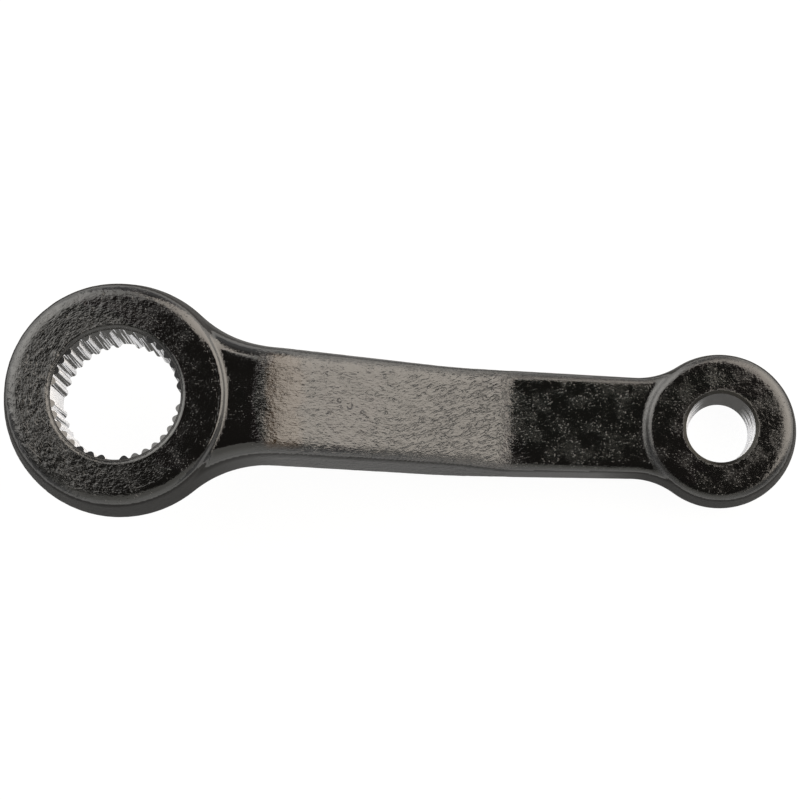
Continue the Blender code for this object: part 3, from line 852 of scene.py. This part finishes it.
def serrationTree():
    inputs = {name: "Int" if isinstance(value, int) else "Float" for name, value in serration.items()}
    tree = openTree("serration", {**inputs, "Steel": "Material", "Paint": "Material"})
    given = addNode(tree, "NodeGroupInput").outputs
    halfHub = addNode(tree, "ShaderNodeMath", {0: given["Hub Length"], 1: -0.5},
                      operation="MULTIPLY").outputs[0]
    teeth = spacedTeeth(tree, given, toothRib(tree, given, halfHub))
    both = addNode(tree, "GeometryNodeJoinGeometry", {0: boreSleeve(tree, given, halfHub)})
    tree.links.new(teeth, both.inputs[0])
    whole = addNode(tree, "GeometryNodeRealizeInstances", {0: both.outputs[0]}).outputs[0]
    # the bore closes in towards its lower mouth, as its taper does
    wholeAt = addNode(tree, "GeometryNodeInputPosition").outputs[0]
    part = addNode(tree, "ShaderNodeSeparateXYZ", {0: wholeAt}).outputs
    plan = addNode(tree, "ShaderNodeCombineXYZ", {0: part["X"], 1: part["Y"]}).outputs[0]
    outward = addNode(tree, "ShaderNodeVectorMath", {0: plan}, operation="NORMALIZE").outputs[0]
    lowered = addNode(tree, "ShaderNodeMath", {0: part["Z"], 1: given["Hub Length"]},
                      operation="DIVIDE").outputs[0]
    closing = addNode(tree, "ShaderNodeMath", {0: lowered, 1: given["Close In"]},
                      operation="MULTIPLY").outputs[0]
    drawn = addNode(tree, "ShaderNodeVectorMath", {0: outward, 3: closing}, operation="SCALE").outputs[0]
    tapered = addNode(tree, "GeometryNodeSetPosition", {"Geometry": whole, "Offset": drawn}).outputs[0]
    smooth = addNode(tree, "GeometryNodeSetShadeSmooth", {0: tapered}).outputs[0]
    steel = addNode(tree, "GeometryNodeSetMaterial", {
        "Geometry": smooth, "Material": given["Steel"]}).outputs[0]
    # paint reached the slanted tooth ends at both mouths
    normal = addNode(tree, "GeometryNodeInputNormal").outputs[0]
    facet = addNode(tree, "ShaderNodeSeparateXYZ", {0: normal}).outputs
    tilt = addNode(tree, "ShaderNodeMath", {0: facet["Z"]}, operation="ABSOLUTE").outputs[0]
    ends = addNode(tree, "ShaderNodeMath", {0: tilt, 1: 0.5}, operation="GREATER_THAN").outputs[0]
    dressed = addNode(tree, "GeometryNodeSetMaterial", {
        "Geometry": steel, "Selection": ends, "Material": given["Paint"]}).outputs[0]
    addNode(tree, "NodeGroupOutput", {0: dressed})
    return tree


forging = forgingBlank()
print("blank:", len(forging.data.polygons), "faces")
cutBores(forging)
print("bores cut:", len(forging.data.polygons), "faces")
runTree(forging, forgedSkinTree(), {**forgedSkin, "Paint": paint, "Wall Paint": dryPaint})
forging.data.set_sharp_from_angle(angle=sharpEdge["forged"])
print("forging skin made")

broachedBore = addObject("serratedBore", [(0, 0, 0)], [])
runTree(broachedBore, serrationTree(), {**serration, "Steel": broachedSteel, "Paint": paint})
broachedBore.data.set_sharp_from_angle(angle=sharpEdge["machined"])
storeShadeFacing(broachedBore, broached)
print("serration made:", len(broachedBore.data.polygons), "faces")


def taperedSeat():
    proud, wall = seat["proud"], seat["wall"]
    top, low = eye["top"] - seat["chamfer"], eye["bottom"] + seat["exitChamfer"]
    inner = seat["largeRadius"] - proud
    small = inner - (top - low) * seat["taper"] / 2
    upper, lower = seat["chamfer"] - proud, seat["exitChamfer"] - proud
    profile = [(inner + upper, top + upper), (inner, top), (small, low), (small + lower, low - lower),
               (small + lower + wall, low - lower + wall), (small + wall, low + wall),
               (inner + wall, top - wall), (inner + upper + wall, top + upper - wall)]
    obj = turned("taperedSeat", profile, eye["x"] * mm, seat["segments"], closedRound=True)
    obj.data.materials.append(reamedSteel)
    obj.data.shade_smooth()
    obj.data.set_sharp_from_angle(angle=sharpEdge["machined"])
    storeShadeFacing(obj, reamed)
    return obj


reamedBore = taperedSeat()
print("seat made")


studio = {
    "centreMm": (70.0, 0.0, -20.0),
    "floorMm": -48.6,
    "floorSpan": 4.0,
    "floorColour": "#e8e7e4",
    "glow": 1.08,
    "glowToCamera": 0.88,
    "glowInMirrors": 0.60,
    "dimFromUp": (0.3, 0.78),
    "dimStrength": (0.40, 0.02),
}
# two big boxes stand behind the arm to both sides, and a white board in front of it;
# each is given in degrees off the zenith and round from +X towards +Y, then metres, and
# a narrower spread makes a box brighter in its middle than at its rim
softboxes = {
    "rightBox": {"off": 54, "round": 31, "distance": 0.75, "wide": 1.1, "tall": 1.2, "spread": 140,
                 "radiance": 2.9, "colour": "#fff5e8"},
    "leftBox": {"off": 54.5, "round": 146, "distance": 0.75, "wide": 1.0, "tall": 1.2, "spread": 110,
                "radiance": 2.5, "colour": "#fffcf6"},
    "frontBoard": {"off": 54, "round": 272, "distance": 0.9, "wide": 1.2, "tall": 1.25, "spread": 170,
                   "radiance": 0.48, "colour": "#fffdf4"},
}


def addSoftbox(name, box):
    off, turn = math.radians(box["off"]), math.radians(box["round"])
    away = Vector((math.sin(off) * math.cos(turn), math.sin(off) * math.sin(turn), math.cos(off)))
    lamp = bpy.data.lights.new(name, "AREA")
    lamp.shape = "RECTANGLE"
    lamp.size, lamp.size_y = box["wide"], box["tall"]
    half = math.radians(box["spread"]) / 2
    lamp.spread = 2 * half
    lamp.energy = box["radiance"] * math.pi * box["wide"] * box["tall"] * (1 - half / math.tan(half))
    lamp.color = linearFromHex(box["colour"])[:3]
    obj = bpy.data.objects.new(name, lamp)
    obj.location = Vector(studio["centreMm"]) * mm + away * box["distance"]
    obj.rotation_euler = away.to_track_quat("Z", "Y").to_euler()
    obj.visible_camera = False
    bpy.context.scene.collection.objects.link(obj)


def raysSeen(tree):
    # which rays come from the camera, and which from a mirror or through glass
    path = addNode(tree, "ShaderNodeLightPath").outputs
    mirrored = addNode(tree, "ShaderNodeMath", {0: path["Is Glossy Ray"], 1: path["Is Transmission Ray"]},
                       operation="MAXIMUM").outputs[0]
    return path["Is Camera Ray"], mirrored


def addFloor():
    # camera rays see the floor nearly white, with the arm's shadow faint on it
    half, z = studio["floorSpan"] / 2, studio["floorMm"] * mm
    corners = [(-half, -half, z), (half, -half, z), (half, half, z), (-half, half, z)]
    floor = addObject("floor", corners, [(0, 1, 2, 3)])
    material = bpy.data.materials.new("paleSweep")
    material.use_nodes = True
    tree = material.node_tree
    tree.nodes.clear()
    matt = addNode(tree, "ShaderNodeBsdfDiffuse", {"Color": linearFromHex(studio["floorColour"])}).outputs[0]
    glow = addNode(tree, "ShaderNodeEmission", {"Strength": studio["glow"]}).outputs[0]
    fromCamera, mirrored = raysSeen(tree)
    inMirror = addNode(tree, "ShaderNodeMath", {0: mirrored, 1: studio["glowInMirrors"]},
                       operation="MULTIPLY").outputs[0]
    toCamera = addNode(tree, "ShaderNodeMath", {0: fromCamera, 1: studio["glowToCamera"]},
                       operation="MULTIPLY").outputs[0]
    lifted = addNode(tree, "ShaderNodeMath", {0: toCamera, 1: inMirror}, operation="MAXIMUM").outputs[0]
    seen = addNode(tree, "ShaderNodeMixShader", {0: lifted, 1: matt, 2: glow}).outputs[0]
    behind = addNode(tree, "ShaderNodeNewGeometry").outputs["Backfacing"]
    clear = addNode(tree, "ShaderNodeBsdfTransparent").outputs[0]
    sided = addNode(tree, "ShaderNodeMixShader", {0: behind, 1: seen, 2: clear}).outputs[0]
    addNode(tree, "ShaderNodeOutputMaterial", {0: sided})
    floor.data.materials.append(material)


def lightWorld():
    # white to the camera and below the horizon, a dim studio above it
    world = bpy.data.worlds.new("studio")
    bpy.context.scene.world = world
    world.use_nodes = True
    tree = world.node_tree
    tree.nodes.clear()
    fromCamera, mirrored = raysSeen(tree)
    toward = addNode(tree, "ShaderNodeTexCoord").outputs["Generated"]
    z = addNode(tree, "ShaderNodeSeparateXYZ", {0: toward}).outputs["Z"]
    (low, high), (bright, faint) = studio["dimFromUp"], studio["dimStrength"]
    dim = addNode(tree, "ShaderNodeMapRange", {0: z, 1: low, 2: high, 3: bright, 4: faint}).outputs[0]
    below = addNode(tree, "ShaderNodeMath", {0: z, 1: 0.0}, operation="LESS_THAN").outputs[0]
    underneath = addNode(tree, "ShaderNodeMath", {0: mirrored, 1: below}, operation="MULTIPLY").outputs[0]
    white = addNode(tree, "ShaderNodeMath", {0: fromCamera, 1: underneath}, operation="MAXIMUM").outputs[0]
    strength = addNode(tree, "ShaderNodeMix", {0: white, 2: dim, 3: 1.0}).outputs[0]
    ground = addNode(tree, "ShaderNodeBackground", {"Strength": strength}).outputs[0]
    addNode(tree, "ShaderNodeOutputWorld", {0: ground})


photoCamera = {
    "focalMm": 184.55,
    "sensorMm": 36.0,
    "atMm": (97.9, -99.02, 985.0),
    "tiltDeg": (-5.80, -1.68, -2.26),
}


def addCamera():
    tiltX, tiltY, tiltZ = (math.radians(d) for d in photoCamera["tiltDeg"])
    turn = Matrix.Rotation(tiltZ, 3, "Z") @ Matrix.Rotation(tiltX, 3, "X") @ Matrix.Rotation(tiltY, 3, "Y")
    lens = bpy.data.cameras.new("photoCamera")
    lens.lens = photoCamera["focalMm"]
    lens.sensor_width = photoCamera["sensorMm"]
    camera = bpy.data.objects.new("photoCamera", lens)
    camera.matrix_world = Matrix.Translation(Vector(photoCamera["atMm"]) * mm) @ turn.transposed().to_4x4()
    bpy.context.scene.collection.objects.link(camera)
    bpy.context.scene.camera = camera


for name, box in softboxes.items():
    addSoftbox(name, box)
addFloor()
lightWorld()
addCamera()
bpy.context.scene.view_settings.view_transform = "Standard"
print("studio set")

for piece in (forging, broachedBore, reamedBore):
    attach(piece, "root")
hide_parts("pitman_arm")

print("pieces ride the frame")
